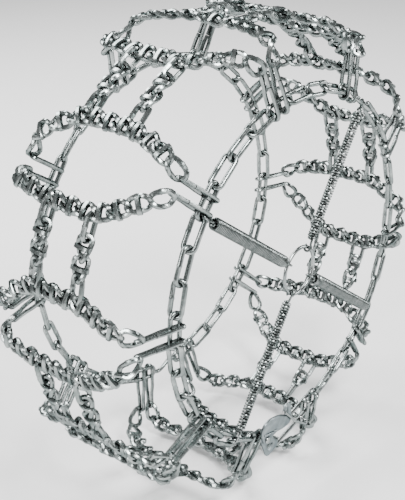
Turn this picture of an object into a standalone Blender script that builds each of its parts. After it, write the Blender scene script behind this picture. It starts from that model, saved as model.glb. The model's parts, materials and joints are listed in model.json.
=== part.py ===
"""Tire snow chains, shown at their fitted shape round a 10-16.5 loader tyre.

The wheel's axis is Y and the wheel's centre is the origin.  The side with the spring
tensioner and the lever fastener faces -Y.  Angles are measured round the wheel from +X
towards +Z.  Each strand of chain is one closed solid; a short closed bar stands in for
every link, and the side chains keep each link's eye open.
"""
import math

import bmesh
import bpy
from mathutils import Matrix, Vector

MM = 0.001

# ---- driving dimensions, metres and degrees ----
SIDE_RADIUS = 302 * MM            # circle of the side chains
SIDE_Y = 145 * MM                 # distance of the side chains from the wheel's middle plane
TREAD_RADIUS = 400 * MM           # middle of the chain wire on the tread
SHOULDER_FILLET = 36 * MM         # how the cross chains round the tyre's shoulder
SHOULDER_Y = 136 * MM             # cross chains stand this far out at the shoulder
HOOK_START_RADIUS = 316.5 * MM    # cross-chain side hooks begin just outside the side chain
INNER_SKEW = 6.0                  # the inner side chain sits this much further round

SIDE_LINK_STEP = 9.39             # degrees taken by one side-chain link
LAST_LINK_ANGLE = 250.6           # link beside the fastener, outer side
OUTER_LINKS = 35
INNER_LINKS = 37
LINK_HALF_WIDTH = 12 * MM
LINK_HALF_EYE = 5 * MM
LINK_HALF_THICKNESS = 4 * MM
LINK_EYE_SHARE = 0.62             # length of a link's eye, as a share of the link's step

# outer attachment, tread centre and inner attachment of each pair of cross chains
FIRST_PAIR_ANGLE = 62.8
PAIR_STEP = 37.55
PAIRS_AT_FULL_STEP = 6
TREAD_LEAD = 3.0                  # pairs stand a little further round on the tread
CROSS_SPREAD = 9.4                # a pair opens to this half angle between the two rungs
CLOSING_SPREAD = 8.0              # the same, next to the closing gap
HOOK_HALF_GAP = 12 * MM           # a pair's two hooks lie parallel, twice this apart
HOOK_LEAD = 1.2                   # hooks rest a little past their side link's middle
SPREAD_START = 44 * MM            # distance along a cross chain where a pair begins to open
CLOSING_SHIFT = 360 - 10 * PAIR_STEP      # the closing gap is this much shorter than a step
BEFORE_FASTENER_ANGLE = 247.4     # outer attachments moved clear of the fastener
AFTER_FASTENER_ANGLE = 279.5
RUNG_Y = 43 * MM                  # rungs run round the tread at this distance either side

CROSS_PITCH = 30 * MM             # one cross-chain link
BODY_HALF_WIDTH = 13 * MM
NECK_HALF_WIDTH = 6 * MM
BODY_DEPTH = 5.5 * MM             # from wire centre in towards the tyre
LINK_HEIGHT = 5.5 * MM            # from wire centre out, plain end of a link
BAR_HEIGHT = 13 * MM              # from wire centre out, top of the traction bar
HOOK_HALF_WIDTH = 10 * MM
HOOK_HALF_EYE = 4 * MM
HOOK_HALF_THICKNESS = 4 * MM
RUNG_GAP = 14.2 * MM              # rung starts this far from its cross chain's centre line

SPRING_Y = 154 * MM               # the ring and springs lie outside the side chain
RING_RADIUS = 41 * MM
RING_WIRE = 3.3 * MM
SPRING_ANGLES = (55.2, 142.6, 235.8, 323.0)
SPRING_OUTER_RADII = (8 * MM, 10.5 * MM, 8 * MM, 10.5 * MM)
SPRING_COIL_START = 54 * MM       # distances from the wheel's centre
SPRING_COIL_END = 280 * MM
SPRING_LOOP_TIP = 44.9 * MM
SPRING_LOOP_WIDTH = 3 * MM
SPRING_SHOULDER = 4 * MM
SPRING_HOOK_PIVOT = 296 * MM      # where the hook bears on the side chain
SPRING_HOOK_TIP = 300 * MM
SPRING_HOOK_HALF_WIDTH = 5 * MM
SPRING_HOOK_HALF_THICKNESS = 2 * MM

LEVER_PIVOT = (-92.5 * MM, -287 * MM)     # x and z of the lever's pin
PIN_RADIUS = 3.5 * MM
PIN_HEAD_RADIUS = 6.5 * MM
PIN_BACK = -137.5 * MM
PIN_BACK_HEAD = -140.4 * MM
PIN_FRONT_HEAD = -164.4 * MM
PIN_FRONT = -167 * MM
PIN_HOLE_RADIUS = 3.9 * MM
HOOK_PLATE_BACK = -154 * MM
HOOK_PLATE_FRONT = -158.8 * MM
LEVER_BACK = -159.3 * MM
LEVER_FRONT = -164 * MM
END_LINK_NEAR = (-62 * MM, -324 * MM)     # centres of the long end link's two bows
END_LINK_FAR = (75 * MM, -293.4 * MM)
END_LINK_HALF_WIDTH = 9.5 * MM
END_LINK_TILT = 28                        # its outer rod stands forward of its inner rod
KEEPER_RUN = 84 * MM                      # from the near bow's centre along the outer rod
END_LINK_WIRE = 3.5 * MM
KEEPER_WIRE = 2.2 * MM
KEEPER_FRONT_Y = -167 * MM
KEEPER_TIP = Vector((-47 * MM, KEEPER_FRONT_Y, -254 * MM))
CLOSING_WIRE = 4 * MM
CLEARANCE = 0.5 * MM

ZINC = (0.62, 0.65, 0.66)
ZINC_BRIGHT = (0.72, 0.74, 0.75)
SPRING_STEEL = (0.42, 0.44, 0.45)
GALVANISED = (0.50, 0.53, 0.55)


# ---- helpers ----

def clear_scene():
    for existing in list(bpy.data.objects):
        bpy.data.objects.remove(existing, do_unlink=True)


def finish_material(name, colour, roughness):
    material = bpy.data.materials.get(name)
    if material is None:
        material = bpy.data.materials.new(name)
        material.use_nodes = True
        shader = material.node_tree.nodes["Principled BSDF"]
        shader.inputs["Base Color"].default_value = (*colour, 1.0)
        shader.inputs["Roughness"].default_value = roughness
        shader.inputs["Metallic"].default_value = 1.0
        material.diffuse_color = (*colour, 1.0)
    return material


def new_object(name, builder, material, origin=(0.0, 0.0, 0.0), smooth=False):
    """Turn a bmesh into an object whose origin is the given point."""
    bmesh.ops.recalc_face_normals(builder, faces=builder.faces)
    bmesh.ops.translate(builder, verts=builder.verts, vec=-Vector(origin))
    mesh = bpy.data.meshes.new(name)
    builder.to_mesh(mesh)
    builder.free()
    mesh.materials.append(material)
    if smooth:
        mesh.shade_smooth()
        mesh.set_sharp_from_angle(angle=math.radians(40))
    thing = bpy.data.objects.new(name, mesh)
    thing.location = origin
    bpy.context.scene.collection.objects.link(thing)
    return thing


def round_the_wheel(radius, degrees, y):
    angle = math.radians(degrees)
    return Vector((radius * math.cos(angle), y, radius * math.sin(angle)))


def ease_in(value):
    """Rise from 0 to 1, steep at first and gentler at the end."""
    value = min(1.0, max(0.0, value))
    return value * (1.25 - 0.25 * value * value)


# ---- a strand: cross sections joined one after another, with eyes where asked ----

class Section:
    """One cross section of a strand: a rectangle across the strand's run."""

    def __init__(self, centre, across, up, half_width, below, above, half_eye=0.0):
        self.centre = centre
        self.across = across
        self.up = up
        self.half_width = half_width
        self.below = below
        self.above = above
        self.half_eye = half_eye

    def row(self, height):
        if self.half_eye:
            steps = (-self.half_width, -self.half_eye, self.half_eye, self.half_width)
        else:
            steps = (-self.half_width, self.half_width)
        return [self.centre + self.across * step + self.up * height for step in steps]


def join_rows(builder, first, second, eye):
    """Fill between two rows of vertices, leaving the middle open for an eye."""
    if len(first) == len(second) == 4:
        for column in (0, 2) if eye else (0, 1, 2):
            builder.faces.new((first[column], first[column + 1],
                               second[column + 1], second[column]))
    elif len(first) == len(second):
        builder.faces.new((first[0], first[1], second[1], second[0]))
    else:
        few, many = (first, second) if len(first) == 2 else (second, first)
        builder.faces.new((few[0], many[0], many[1]))
        builder.faces.new((few[0], many[1], many[2], few[1]))
        builder.faces.new((few[1], many[2], many[3]))


def build_strand(builder, sections, eyes, closed=False):
    """sections: list of Section; eyes: for each gap between sections, True if it is open."""
    lower = []
    upper = []
    for section in sections:
        lower.append([builder.verts.new(p) for p in section.row(-section.below)])
        upper.append([builder.verts.new(p) for p in section.row(section.above)])
    gaps = len(sections) if closed else len(sections) - 1
    for index in range(gaps):
        after = (index + 1) % len(sections)
        eye = eyes[index]
        join_rows(builder, lower[index], lower[after], eye)
        join_rows(builder, upper[index], upper[after], eye)
        for side in (0, -1):
            builder.faces.new((lower[index][side], lower[after][side],
                               upper[after][side], upper[index][side]))
        if eye:
            for column in (1, 2):
                builder.faces.new((lower[index][column], lower[after][column],
                                   upper[after][column], upper[index][column]))
            for end in (index, after):
                builder.faces.new((lower[end][1], lower[end][2],
                                   upper[end][2], upper[end][1]))
    if not closed:
        for end in (0, -1):
            builder.faces.new(lower[end] + upper[end][::-1])


# ---- side chains ----

def side_chain_sections(first_angle, links, y):
    """Two sections for each link, one at each end of its eye."""
    outward = Vector((0.0, math.copysign(1.0, y), 0.0))
    half_eye_angle = SIDE_LINK_STEP * LINK_EYE_SHARE / 2
    sections = []
    for number in range(links):
        middle = first_angle + number * SIDE_LINK_STEP
        for angle in (middle - half_eye_angle, middle + half_eye_angle):
            across = round_the_wheel(1.0, angle, 0.0)
            sections.append(Section(round_the_wheel(SIDE_RADIUS, angle, y), across, outward,
                                    LINK_HALF_WIDTH, LINK_HALF_THICKNESS,
                                    LINK_HALF_THICKNESS, LINK_HALF_EYE))
    return sections


def end_section(first_angle, half_links, y):
    """Plain end of a side chain, half a link's step past the last link's centre."""
    angle = first_angle + half_links * SIDE_LINK_STEP / 2 * 0.96
    outward = Vector((0.0, math.copysign(1.0, y), 0.0))
    return Section(round_the_wheel(SIDE_RADIUS, angle, y), round_the_wheel(1.0, angle, 0.0),
                   outward, LINK_HALF_WIDTH * 0.6, LINK_HALF_THICKNESS, LINK_HALF_THICKNESS)


def make_side_chain(name, last_angle, links, y, material):
    first_angle = last_angle - (links - 1) * SIDE_LINK_STEP
    sections = side_chain_sections(first_angle, links, y)
    eyes = [number % 2 == 0 for number in range(len(sections) - 1)]
    sections = [end_section(first_angle, -1, y)] + sections + [end_section(last_angle, 1, y)]
    eyes = [False] + eyes + [False]
    builder = bmesh.new()
    build_strand(builder, sections, eyes)
    return new_object(name, builder, material)


# ---- cross chains ----

def profile_point(run):
    """Radius, y and outward direction at a distance along a cross chain from its hook."""
    rise = TREAD_RADIUS - SHOULDER_FILLET - HOOK_START_RADIUS
    arc = SHOULDER_FILLET * math.pi / 2
    flat = SHOULDER_Y - SHOULDER_FILLET
    if run < rise:
        lean = 1.0 - run / rise
        y = -SHOULDER_Y - (SIDE_Y - SHOULDER_Y) * lean
        return HOOK_START_RADIUS + run, y, 0.0, -1.0
    if run < rise + arc:
        turn = (run - rise) / SHOULDER_FILLET
        radius = TREAD_RADIUS - SHOULDER_FILLET + SHOULDER_FILLET * math.sin(turn)
        y = -flat - SHOULDER_FILLET * math.cos(turn)
        return radius, y, math.sin(turn), -math.cos(turn)
    return TREAD_RADIUS, -flat + (run - rise - arc), 1.0, 0.0


HALF_RUN = (TREAD_RADIUS - SHOULDER_FILLET - HOOK_START_RADIUS
            + SHOULDER_FILLET * math.pi / 2 + SHOULDER_Y - SHOULDER_FILLET)
HOOK_RUN = 50 * MM                # length of a side hook
RUNG_RUN = HALF_RUN - RUNG_Y      # distance along a cross chain to the nearer rung


def cross_point(run, attach_out, tread, attach_in, side, spread):
    """Centre and outward direction of a cross chain, half way across or beyond."""
    far = run > HALF_RUN
    own_run = 2 * HALF_RUN - run if far else run
    radius, y, out_radial, out_y = profile_point(own_run)
    attach = attach_in if far else attach_out
    share = ease_in((own_run - SPREAD_START) / (RUNG_RUN - SPREAD_START))
    hooks = attach + HOOK_LEAD
    hook_spread = math.degrees(HOOK_HALF_GAP / radius)
    angle = hooks + (tread - hooks) * share
    angle += side * (hook_spread + (spread - hook_spread) * share)
    if far:
        y = -y
        out_y = -out_y
    centre = round_the_wheel(radius, angle, y)
    up = round_the_wheel(out_radial, angle, out_y)
    return centre, up


def section_on_curve(curve, run, half_width, below, above, half_eye=0.0):
    """A section square to a curve that returns centre and outward direction."""
    centre, up = curve(run)
    ahead = curve(run + 1 * MM)[0]
    behind = curve(run - 1 * MM)[0]
    along = (ahead - behind).normalized()
    across = along.cross(up).normalized()
    up = across.cross(along).normalized()
    return Section(centre, across, up, half_width, below, above, half_eye)


def link_run(curve, start, end, links, barred):
    """Three sections for each link: neck, plain end, and the end under its traction bar."""
    step = (end - start) / links
    sections = [section_on_curve(curve, start, NECK_HALF_WIDTH, BODY_DEPTH * 0.7,
                                 LINK_HEIGHT * 0.7)]
    for number in range(links):
        near = start + step * (number + 0.2)
        far = start + step * (number + 0.8)
        height = BAR_HEIGHT if barred(number) else LINK_HEIGHT
        sections.append(section_on_curve(curve, near, BODY_HALF_WIDTH, BODY_DEPTH,
                                         LINK_HEIGHT))
        sections.append(section_on_curve(curve, far, BODY_HALF_WIDTH, BODY_DEPTH, height))
        sections.append(section_on_curve(curve, start + step * (number + 1), NECK_HALF_WIDTH,
                                         BODY_DEPTH * 0.7, LINK_HEIGHT * 0.7))
    return sections


def make_cross_chain(name, attach_out, tread, attach_in, side, spread, material):
    def curve(run):
        return cross_point(run, attach_out, tread, attach_in, side, spread)

    full_run = 2 * HALF_RUN
    links = round((full_run - 2 * HOOK_RUN) / CROSS_PITCH)
    middle = link_run(curve, HOOK_RUN, full_run - HOOK_RUN, links, lambda number: True)
    hook_ends = (4 * MM, HOOK_RUN - 8 * MM)
    outer = [section_on_curve(curve, 0.0, HOOK_HALF_WIDTH * 0.7, HOOK_HALF_THICKNESS,
                              HOOK_HALF_THICKNESS)]
    inner = []
    for run in hook_ends:
        outer.append(section_on_curve(curve, run, HOOK_HALF_WIDTH, HOOK_HALF_THICKNESS,
                                      HOOK_HALF_THICKNESS, HOOK_HALF_EYE))
        inner.insert(0, section_on_curve(curve, full_run - run, HOOK_HALF_WIDTH,
                                         HOOK_HALF_THICKNESS, HOOK_HALF_THICKNESS,
                                         HOOK_HALF_EYE))
    inner.append(section_on_curve(curve, full_run, HOOK_HALF_WIDTH * 0.7,
                                  HOOK_HALF_THICKNESS, HOOK_HALF_THICKNESS))
    sections = outer + middle + inner
    eyes = [False] * (len(sections) - 1)
    eyes[1] = True
    eyes[-2] = True
    builder = bmesh.new()
    build_strand(builder, sections, eyes)
    return new_object(name, builder, material)


def make_rung(name, start_angle, end_angle, y, material):
    """A short run of links round the tread, between two neighbouring cross chains."""
    gap = math.degrees(RUNG_GAP / TREAD_RADIUS)
    first = start_angle + gap
    last = end_angle - gap

    def curve(run):
        angle = first + math.degrees(run / TREAD_RADIUS)
        return round_the_wheel(TREAD_RADIUS, angle, y), round_the_wheel(1.0, angle, 0.0)

    length = math.radians(last - first) * TREAD_RADIUS
    links = max(1, round(length / CROSS_PITCH))
    sections = link_run(curve, 0.0, length, links, lambda number: 0 < number < links - 1)
    builder = bmesh.new()
    build_strand(builder, sections, [False] * (len(sections) - 1))
    return new_object(name, builder, material)


def pair_table():
    """Outer attachment, tread centre, inner attachment and the two spreads of each pair."""
    rows = []
    for number in range(10):
        attach = FIRST_PAIR_ANGLE + number * PAIR_STEP
        if number >= PAIRS_AT_FULL_STEP:
            attach += CLOSING_SHIFT
        attach_out = attach
        tread = attach + TREAD_LEAD
        if number == PAIRS_AT_FULL_STEP - 1:
            attach_out = BEFORE_FASTENER_ANGLE
        if number == PAIRS_AT_FULL_STEP:
            attach_out = AFTER_FASTENER_ANGLE
            tread = AFTER_FASTENER_ANGLE
        before = CLOSING_SPREAD if number == PAIRS_AT_FULL_STEP else CROSS_SPREAD
        after = CLOSING_SPREAD if number == PAIRS_AT_FULL_STEP - 1 else CROSS_SPREAD
        rows.append((attach_out, tread, attach + INNER_SKEW, before, after))
    return rows


def make_net(material):
    rows = pair_table()
    number = 1
    for attach_out, tread, attach_in, before, after in rows:
        for side, spread in ((-1, before), (1, after)):
            make_cross_chain(f"cross_chain_{number:02d}", attach_out, tread, attach_in, side,
                             spread, material)
            number += 1
    number = 1
    for index, row in enumerate(rows):
        after_row = rows[(index + 1) % len(rows)]
        start = row[1] + row[4]
        end = after_row[1] - after_row[3] + (360 if index == len(rows) - 1 else 0)
        for y in (-RUNG_Y, RUNG_Y):
            make_rung(f"tread_rung_{number:02d}", start, end, y, material)
            number += 1


# ---- spring tensioner ----

def make_ring(material):
    builder = bmesh.new()
    rows = []
    around = 32
    section = 8
    for step in range(around):
        angle = 360 * step / around
        row = []
        for turn in range(section):
            tilt = 2 * math.pi * (turn + 0.5) / section
            radius = RING_RADIUS + RING_WIRE * math.cos(tilt)
            row.append(builder.verts.new(round_the_wheel(radius, angle,
                                                         -SPRING_Y + RING_WIRE * math.sin(tilt))))
        rows.append(row)
    for step in range(around):
        join_loops(builder, rows[step], rows[(step + 1) % around])
    return new_object("tensioner_ring", builder, material, (0.0, -SPRING_Y, 0.0), True)


def join_loops(builder, first, second):
    count = len(first)
    for index in range(count):
        after = (index + 1) % count
        builder.faces.new((first[index], first[after], second[after], second[index]))


def turned_solid(profile, along, start, sides):
    """Solid of revolution: profile holds distances along the axis and radii."""
    builder = bmesh.new()
    turn_to = Vector((0.0, 0.0, 1.0)).rotation_difference(along).to_matrix()
    loops = []
    for distance, radius in profile:
        loop = []
        for step in range(sides):
            angle = 2 * math.pi * step / sides
            point = Vector((radius * math.cos(angle), radius * math.sin(angle), distance))
            loop.append(builder.verts.new(turn_to @ point + start))
        loops.append(loop)
    for first, second in zip(loops, loops[1:]):
        join_loops(builder, first, second)
    builder.faces.new(loops[0])
    builder.faces.new(loops[-1])
    return builder


def make_spring(number, angle, outer_radius, material):
    profile = ((SPRING_LOOP_TIP, SPRING_LOOP_WIDTH),
               (SPRING_COIL_START - SPRING_SHOULDER, SPRING_LOOP_WIDTH),
               (SPRING_COIL_START, outer_radius),
               (SPRING_COIL_END, outer_radius),
               (SPRING_COIL_END + SPRING_SHOULDER, SPRING_LOOP_WIDTH))
    centre = Vector((0.0, -SPRING_Y, 0.0))
    builder = turned_solid(profile, round_the_wheel(1.0, angle, 0.0), centre, 16)
    pivot = round_the_wheel(SPRING_HOOK_PIVOT, angle, -SPRING_Y)
    return new_object(f"tension_spring_{number}", builder, material, pivot, True)


def make_spring_hook(number, angle, material):
    """A small wire hook that joins a spring's outer end to the side chain."""
    start = SPRING_COIL_END + SPRING_SHOULDER + CLEARANCE
    across = round_the_wheel(1.0, angle + 90, 0.0)
    outward = Vector((0.0, -1.0, 0.0))
    sections = []
    for radius, share, eye in ((start, 0.7, 0.0), (start + 3 * MM, 1.0, 2 * MM),
                               (SPRING_HOOK_TIP - 3 * MM, 1.0, 2 * MM),
                               (SPRING_HOOK_TIP, 0.7, 0.0)):
        sections.append(Section(round_the_wheel(radius, angle, -SPRING_Y), across, outward,
                                SPRING_HOOK_HALF_WIDTH * share, SPRING_HOOK_HALF_THICKNESS,
                                SPRING_HOOK_HALF_THICKNESS, eye))
    builder = bmesh.new()
    build_strand(builder, sections, [False, True, False])
    pivot = round_the_wheel(SPRING_HOOK_PIVOT, angle, -SPRING_Y)
    return new_object(f"spring_hook_{number}", builder, material, pivot)


# ---- lever fastener ----

def arc_points(centre, radius, start, end, steps):
    points = []
    for step in range(steps + 1):
        angle = math.radians(start + (end - start) * step / steps)
        points.append((centre[0] + radius * math.cos(angle),
                       centre[1] + radius * math.sin(angle)))
    return points


def plate(builder, outline, back, front):
    """Extrude an outline of x, z points from y=back to y=front."""
    verts = [builder.verts.new((x, back, z)) for x, z in outline]
    face = builder.faces.new(verts)
    pushed = bmesh.ops.extrude_face_region(builder, geom=[face])
    moved = [item for item in pushed["geom"] if isinstance(item, bmesh.types.BMVert)]
    bmesh.ops.translate(builder, verts=moved, vec=(0.0, front - back, 0.0))


def cut_hole(target, outline, back, front):
    """Cut a prism through a plate with a hidden cutter."""
    margin = 2 * MM
    builder = bmesh.new()
    plate(builder, outline, back + margin, front - margin)
    cutter = new_object(target.name + "_cutter", builder, target.data.materials[0])
    cutter.hide_render = True
    cutter.display_type = 'WIRE'
    cut = target.modifiers.new("hole", 'BOOLEAN')
    cut.operation = 'DIFFERENCE'
    cut.solver = 'EXACT'
    cut.object = cutter
    return cutter


def make_hook_plate(material):
    """Flat plate on the lever's pin that holds the long end link's near bow."""
    corner = (-80 * MM, -321 * MM)
    nose = (-63 * MM, -316 * MM)
    outline = arc_points(LEVER_PIVOT, 10 * MM, 20, 200, 7)
    outline += arc_points(corner, 9.5 * MM, 195, 285, 4)
    outline += arc_points(nose, 9.5 * MM, 290, 380, 4)
    builder = bmesh.new()
    plate(builder, outline, HOOK_PLATE_BACK, HOOK_PLATE_FRONT)
    thing = new_object("fastener_hook_plate", builder, material)
    cut_hole(thing, arc_points(LEVER_PIVOT, PIN_HOLE_RADIUS, 0, 337.5, 15),
             HOOK_PLATE_BACK, HOOK_PLATE_FRONT)
    slot = ((-88 * MM, -302 * MM), (-81 * MM, -317.5 * MM), (-67 * MM, -307.5 * MM))
    cut_hole(thing, slot, HOOK_PLATE_BACK, HOOK_PLATE_FRONT)
    return thing


def make_lever(material):
    """Leaf-shaped locking lever with a curled tip, on the same pin as the hook plate."""
    outline = arc_points(LEVER_PIVOT, 9.5 * MM, 185, 320, 6)
    outline += [(-66 * MM, -286 * MM), (-42 * MM, -290.5 * MM), (-27 * MM, -288.5 * MM),
                (-22.5 * MM, -280 * MM), (-22 * MM, -268 * MM)]
    outline += arc_points((-33.5 * MM, -255.5 * MM), 10.5 * MM, -15, 175, 8)
    outline += arc_points((-41.4 * MM, -254.6 * MM), 2.6 * MM, 175, 330, 3)
    outline += [(-36 * MM, -251.5 * MM), (-32.5 * MM, -253 * MM), (-32 * MM, -258.5 * MM),
                (-37.5 * MM, -266.5 * MM), (-48 * MM, -260.5 * MM), (-67 * MM, -253 * MM),
                (-88 * MM, -249.5 * MM), (-101 * MM, -254 * MM), (-106.5 * MM, -264 * MM),
                (-106 * MM, -276 * MM)]
    builder = bmesh.new()
    plate(builder, outline, LEVER_BACK, LEVER_FRONT)
    pivot = (LEVER_PIVOT[0], LEVER_BACK, LEVER_PIVOT[1])
    thing = new_object("fastener_lever", builder, material, pivot)
    cut_hole(thing, arc_points(LEVER_PIVOT, PIN_HOLE_RADIUS, 0, 337.5, 15),
             LEVER_BACK, LEVER_FRONT)
    return thing


def make_pin(material):
    profile = ((-PIN_BACK, PIN_HEAD_RADIUS), (-PIN_BACK_HEAD, PIN_HEAD_RADIUS),
               (-PIN_BACK_HEAD, PIN_RADIUS), (-PIN_FRONT_HEAD, PIN_RADIUS),
               (-PIN_FRONT_HEAD, PIN_HEAD_RADIUS), (-PIN_FRONT, PIN_HEAD_RADIUS * 0.8))
    start = Vector((LEVER_PIVOT[0], 0.0, LEVER_PIVOT[1]))
    builder = turned_solid(profile, Vector((0.0, -1.0, 0.0)), start, 16)
    return new_object("fastener_pivot_pin", builder, material, (start.x, PIN_BACK, start.z), True)


def wire_tube(builder, points, radius, sides, closed):
    """A round wire through the points, each cross section square to the run."""
    loops = []
    count = len(points)
    reference = None
    for index, point in enumerate(points):
        if closed:
            along = points[(index + 1) % count] - points[index - 1]
        else:
            along = points[min(index + 1, count - 1)] - points[max(index - 1, 0)]
        along.normalize()
        if reference is None:
            reference = along.orthogonal()
        reference = (reference - along * reference.dot(along)).normalized()
        other = along.cross(reference)
        loop = []
        for step in range(sides):
            angle = 2 * math.pi * step / sides
            offset = reference * math.cos(angle) + other * math.sin(angle)
            loop.append(builder.verts.new(point + offset * radius))
        loops.append(loop)
    for first, second in zip(loops, loops[1:]):
        join_loops(builder, first, second)
    if closed:
        join_loops(builder, loops[-1], loops[0])
    else:
        builder.faces.new(loops[0])
        builder.faces.new(loops[-1])


def end_link_axes():
    """The long end link's bow centres, and its directions along and across, inwards."""
    near = Vector((END_LINK_NEAR[0], -SIDE_Y, END_LINK_NEAR[1]))
    far = Vector((END_LINK_FAR[0], -SIDE_Y, END_LINK_FAR[1]))
    along = (far - near).normalized()
    tilt = math.radians(END_LINK_TILT)
    across = Vector((-along.z, 0.0, along.x)) * math.cos(tilt) + Vector((0.0, math.sin(tilt), 0.0))
    return near, far, along, across


def make_end_link(material):
    """Long two-rod link between the hook plate and the far end of the side chain."""
    near, far, along, across = end_link_axes()
    points = []
    for centre, start in ((far, -90), (near, 90)):
        for step in range(7):
            angle = math.radians(start + 30 * step)
            points.append(centre + (along * math.cos(angle) + across * math.sin(angle))
                          * END_LINK_HALF_WIDTH)
    builder = bmesh.new()
    wire_tube(builder, points, END_LINK_WIRE, 8, True)
    return new_object("long_end_link", builder, material, near, True)


def keeper_axis():
    """Point and direction of the long end link's outer rod, which the keeper turns on."""
    near, _, along, across = end_link_axes()
    place = near + along * KEEPER_RUN - across * END_LINK_HALF_WIDTH
    return place, along


def make_keeper(material):
    """Wire latch: a curl round the end link's outer rod and a bar over the lever."""
    place, along = keeper_axis()
    outward = Vector((0.0, -1.0, 0.0))
    down = outward.cross(along)
    curl = END_LINK_WIRE + CLEARANCE + KEEPER_WIRE
    points = []
    for step in range(8):
        angle = math.radians(-150 + 30 * step)
        points.append(place + (outward * math.cos(angle) + down * math.sin(angle)) * curl)
    bend = place + outward * (place.y - KEEPER_FRONT_Y) + down * curl
    points += [bend - outward * 5 * MM, bend - down * 4 * MM - along * 2 * MM,
               Vector((-12 * MM, KEEPER_FRONT_Y, -293 * MM)), KEEPER_TIP]
    builder = bmesh.new()
    wire_tube(builder, points, KEEPER_WIRE, 8, False)
    return new_object("lever_keeper", builder, material, place, True)


def make_closing_hook(material):
    """Plain open hook that closes the inner side chain, opposite the lever fastener."""
    gap = SIDE_LINK_STEP / 2 + math.degrees((CLOSING_WIRE + CLEARANCE) / SIDE_RADIUS)
    first = LAST_LINK_ANGLE + INNER_SKEW + gap
    last = LAST_LINK_ANGLE + INNER_SKEW + PAIR_STEP + CLOSING_SHIFT - gap
    points = []
    for step in range(9):
        share = step / 8
        angle = first + (last - first) * share
        sway = 6 * MM * math.sin(2 * math.pi * share)
        points.append(round_the_wheel(SIDE_RADIUS + sway, angle, SIDE_Y))
    builder = bmesh.new()
    wire_tube(builder, points, CLOSING_WIRE, 8, False)
    return new_object("inner_closing_hook", builder, material, smooth=True)


# ---- the whole part ----

def main():
    clear_scene()
    zinc = finish_material("zinc_plated_chain", ZINC, 0.34)
    bright = finish_material("zinc_plated_bright", ZINC_BRIGHT, 0.26)
    spring_steel = finish_material("spring_steel", SPRING_STEEL, 0.38)
    galvanised = finish_material("galvanised_plate", GALVANISED, 0.5)

    make_side_chain("outer_side_chain", LAST_LINK_ANGLE, OUTER_LINKS, -SIDE_Y, zinc)
    make_side_chain("inner_side_chain", LAST_LINK_ANGLE + INNER_SKEW, INNER_LINKS, SIDE_Y, zinc)
    make_net(zinc)
    make_ring(bright)
    for number, angle in enumerate(SPRING_ANGLES, 1):
        make_spring(number, angle, SPRING_OUTER_RADII[number - 1], spring_steel)
        make_spring_hook(number, angle, bright)
    make_hook_plate(galvanised)
    make_lever(galvanised)
    make_pin(bright)
    make_end_link(bright)
    make_keeper(bright)
    make_closing_hook(zinc)


main()
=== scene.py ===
"""Looks of the tire snow chains: real interlocked links, hooks, coiled springs and finishes.

Angles are measured round the wheel from +X towards +Z, in degrees; lengths are metres.
Every strand of chain is one piece that stands for the solid of the same name.
"""
import json
import math
import random

import bmesh
import bpy
import numpy as np
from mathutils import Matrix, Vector


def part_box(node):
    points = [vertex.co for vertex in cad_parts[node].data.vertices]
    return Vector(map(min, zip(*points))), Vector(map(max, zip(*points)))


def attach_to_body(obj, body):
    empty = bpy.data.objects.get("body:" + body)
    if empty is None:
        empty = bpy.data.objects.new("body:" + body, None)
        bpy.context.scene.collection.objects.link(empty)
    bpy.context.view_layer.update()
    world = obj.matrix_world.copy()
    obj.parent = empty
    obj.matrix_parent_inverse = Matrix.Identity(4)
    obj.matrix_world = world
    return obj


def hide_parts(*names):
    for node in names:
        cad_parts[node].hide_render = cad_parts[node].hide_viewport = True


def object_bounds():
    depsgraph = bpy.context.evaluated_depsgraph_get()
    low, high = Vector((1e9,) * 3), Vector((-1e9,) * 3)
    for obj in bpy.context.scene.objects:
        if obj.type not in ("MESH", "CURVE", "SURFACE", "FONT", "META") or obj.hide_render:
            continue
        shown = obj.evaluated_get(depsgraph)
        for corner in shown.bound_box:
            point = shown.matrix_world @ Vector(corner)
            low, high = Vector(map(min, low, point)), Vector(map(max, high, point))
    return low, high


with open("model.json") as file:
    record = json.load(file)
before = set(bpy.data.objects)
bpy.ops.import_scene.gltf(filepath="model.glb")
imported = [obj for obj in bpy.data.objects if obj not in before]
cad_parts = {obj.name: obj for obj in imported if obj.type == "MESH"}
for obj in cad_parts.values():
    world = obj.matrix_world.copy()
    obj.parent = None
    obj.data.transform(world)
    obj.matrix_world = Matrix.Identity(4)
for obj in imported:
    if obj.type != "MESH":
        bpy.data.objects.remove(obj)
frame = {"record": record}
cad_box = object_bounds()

MM = 0.001
SCATTER = random.Random(7)

# ---- places that come from the frame ----


def joint_place(name):
    for joint in frame["record"]["behaviour"]["joints"]:
        if joint["name"] == name:
            return joint
    raise KeyError(name)


SPRING_FACE_Y = joint_place("spring_1_tilt")["pos_m"][1]
LEVER_PIVOT = joint_place("lever_swing")["pos_m"]
KEEPER_PLACE = joint_place("keeper_flip")["pos_m"]
KEEPER_ALONG = joint_place("keeper_flip")["axis"]
SPRING_PIVOTS = [joint_place(f"spring_{number}_tilt")["pos_m"] for number in range(1, 5)]
SPRING_ANGLES = [math.degrees(math.atan2(p[2], p[0])) % 360 for p in SPRING_PIVOTS]
RING_LOW, RING_HIGH = (np.array(corner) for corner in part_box("tensioner_ring"))
RING_WIRE = (RING_HIGH[1] - RING_LOW[1]) / 2
RING_RADIUS = (RING_HIGH[0] - RING_LOW[0]) / 2 - RING_WIRE

# ---- the layout of the net, as the CAD has it ----

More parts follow.
